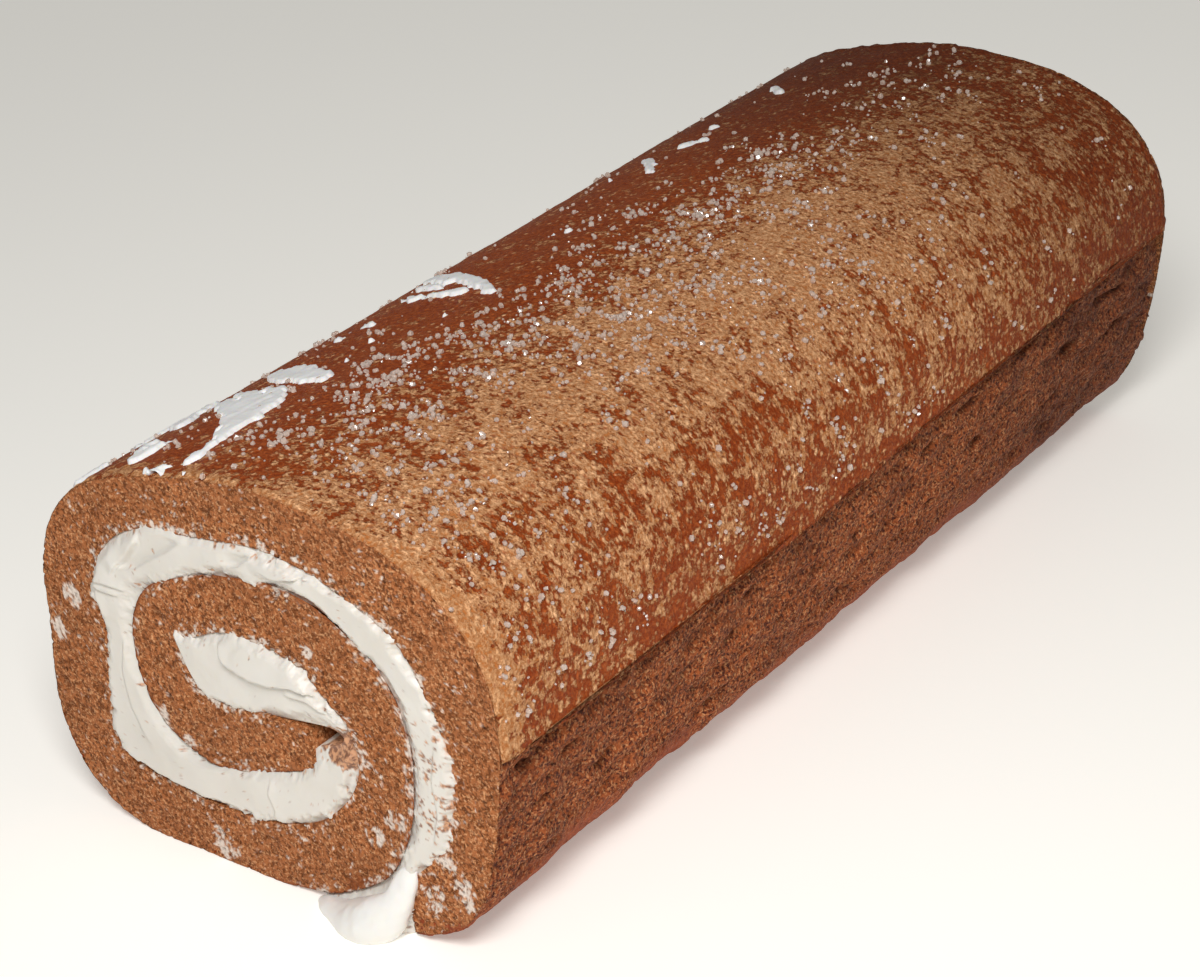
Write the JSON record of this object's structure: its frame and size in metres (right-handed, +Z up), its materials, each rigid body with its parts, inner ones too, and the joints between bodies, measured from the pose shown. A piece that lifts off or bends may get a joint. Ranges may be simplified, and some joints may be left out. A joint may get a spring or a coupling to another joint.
{
  "type": "swiss roll cake",
  "caption": "Swiss roll: a sheet of cocoa sponge rolled in a spiral around white cream, cut flat at both ends, with a dollop of cream squeezed out of the seam.",
  "frame": {"origin": "centre of the roll's bounding box in plan, on the flat base it lies on", "axes": "+Z up from the base, +Y along the roll from the near cut face to the far end, +X to the right seen from the near cut face"},
  "size_m": [0.095, 0.205, 0.0703],
  "materials": {
    "sponge": "soft cocoa sponge with fine open pores, browned skin outside, matte",
    "cream": "soft white whipped cream, smooth folds, light gloss"
  },
  "bodies": {
    "root": {"sponge_roll": "sponge", "cream_filling": "cream"}
  },
  "joints": []
}
